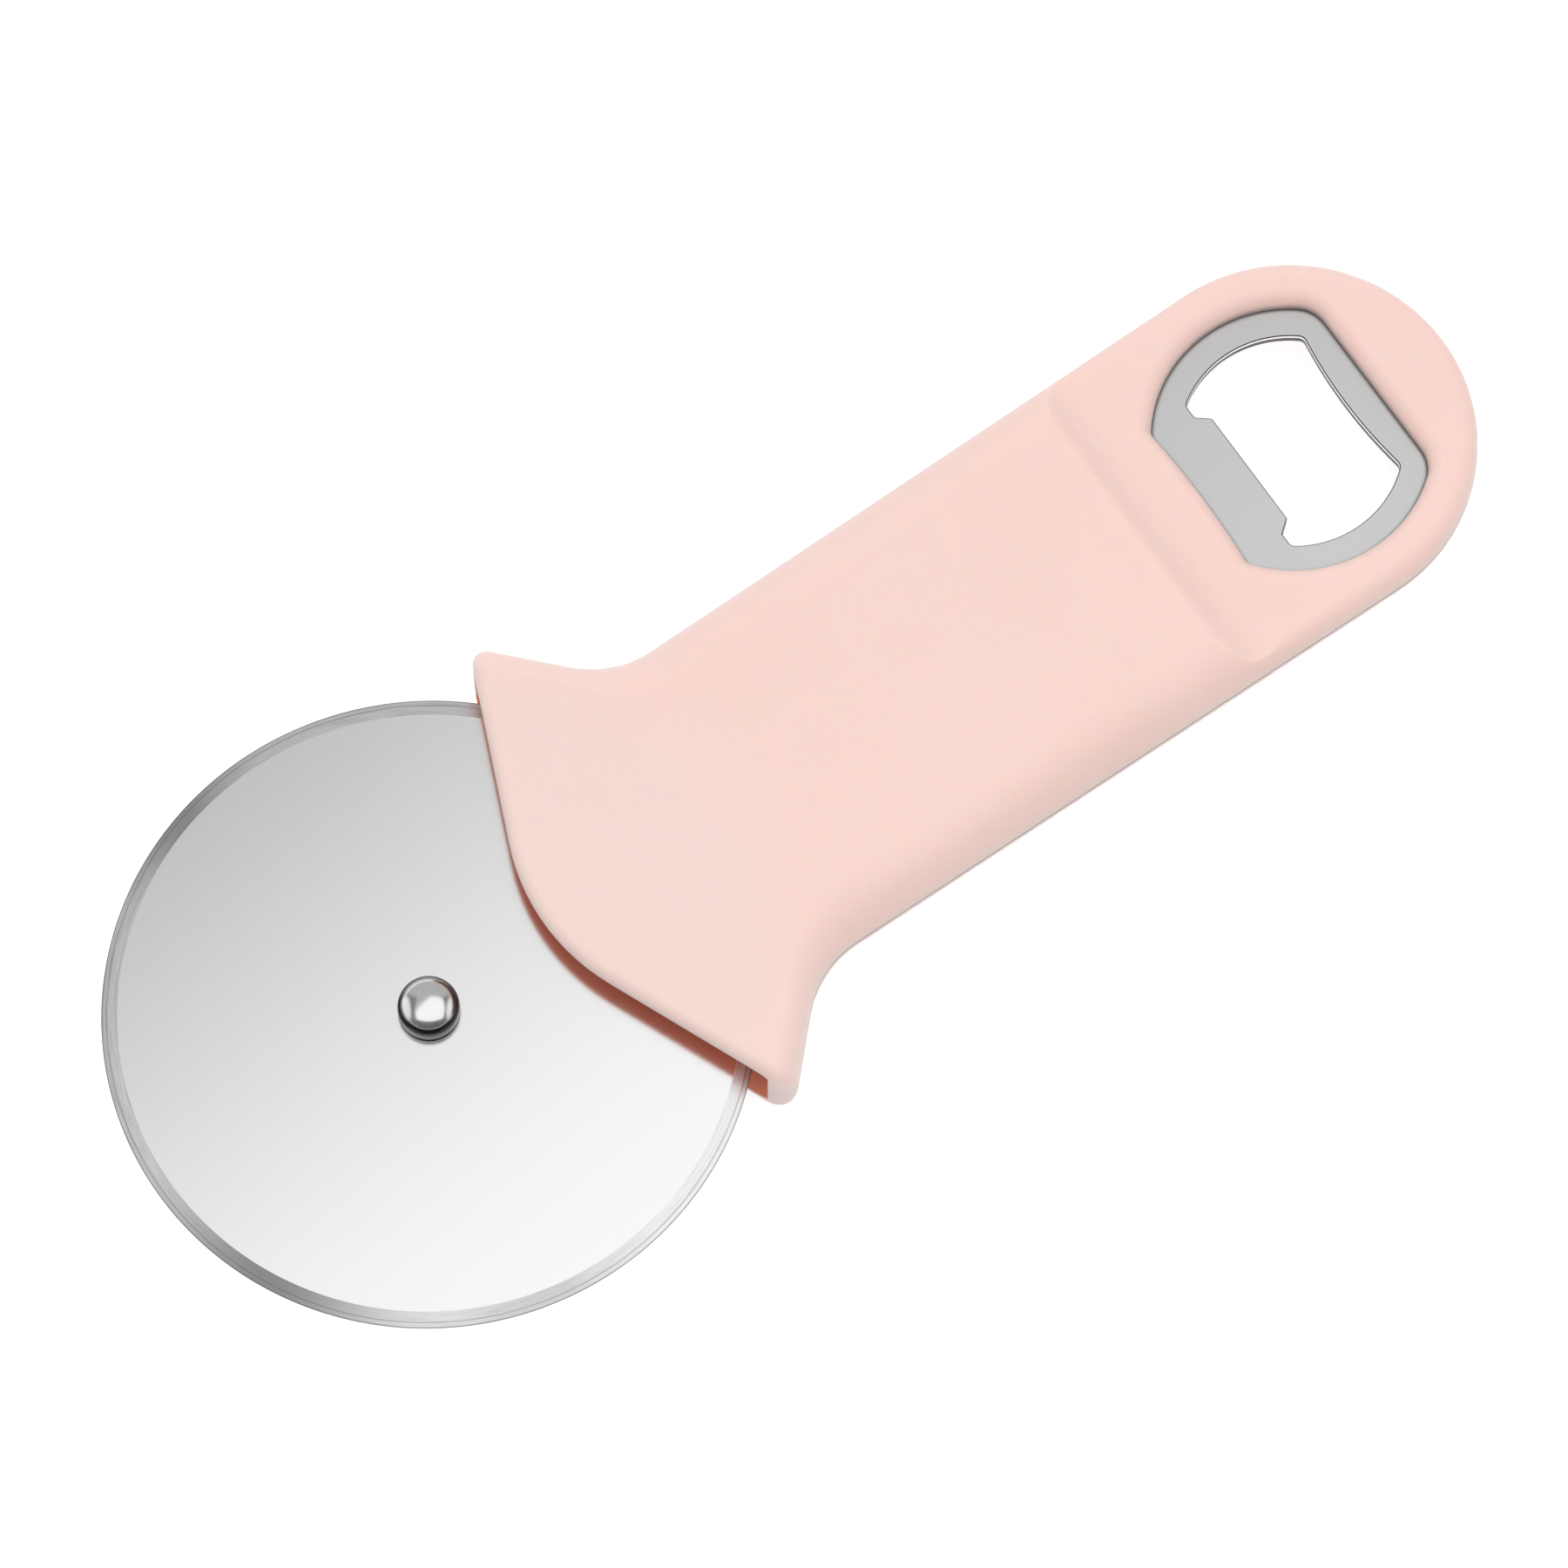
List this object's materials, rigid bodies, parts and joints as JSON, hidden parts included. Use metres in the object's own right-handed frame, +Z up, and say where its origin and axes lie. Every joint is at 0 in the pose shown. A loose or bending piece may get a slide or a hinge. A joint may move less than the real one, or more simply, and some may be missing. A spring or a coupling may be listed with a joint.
{
  "type": "pizza cutter wheel",
  "caption": "Round steel pizza cutting wheel that spins on a domed rivet in the hooded mouth of a flat plastic handle, with a steel crown-cap opener set in its rounded end.",
  "frame": {"origin": "bottom centre of the tool's box, with the tool lying on its back", "axes": "+X from the wheel to the opener end, +Y across the handle, +Z up through the front face, along the wheel's axle"},
  "size_m": [0.2138, 0.0888, 0.015],
  "materials": {
    "handle_plastic": "pale blush pink, smooth, satin sheen",
    "wheel_steel": "bright satin steel, bevel ground finer round the edge",
    "plate_steel": "satin stamped steel",
    "rivet_chrome": "polished",
    "arm_steel": "plain stamped steel",
    "bush_steel": "turned steel",
    "washer_nylon": "natural nylon",
    "screw_steel": "zinc plated"
  },
  "bodies": {
    "handle": {"front_shell": "handle_plastic", "back_shell": "handle_plastic", "opener_plate": "plate_steel", "wheel_arm": "arm_steel", "axle_bush": "bush_steel", "spacer_washer": "washer_nylon", "axle_rivet": "rivet_chrome", "rivet_burr": "arm_steel", "arm_screws": "screw_steel", "shell_screws": "screw_steel", "end_screw": "screw_steel", "screw_plug_1": "handle_plastic", "screw_plug_2": "handle_plastic", "screw_plug_3": "handle_plastic", "screw_plug_4": "handle_plastic", "screw_plug_5": "handle_plastic"},
    "wheel": {"cutting_wheel": "wheel_steel"}
  },
  "joints": [
    {"name": "wheel_spin", "type": "hinge", "parent": "handle", "child": "wheel", "pos_m": [-0.06243, 0, 0.0075], "axis": [0, 0, 1], "continuous": true}
  ]
}
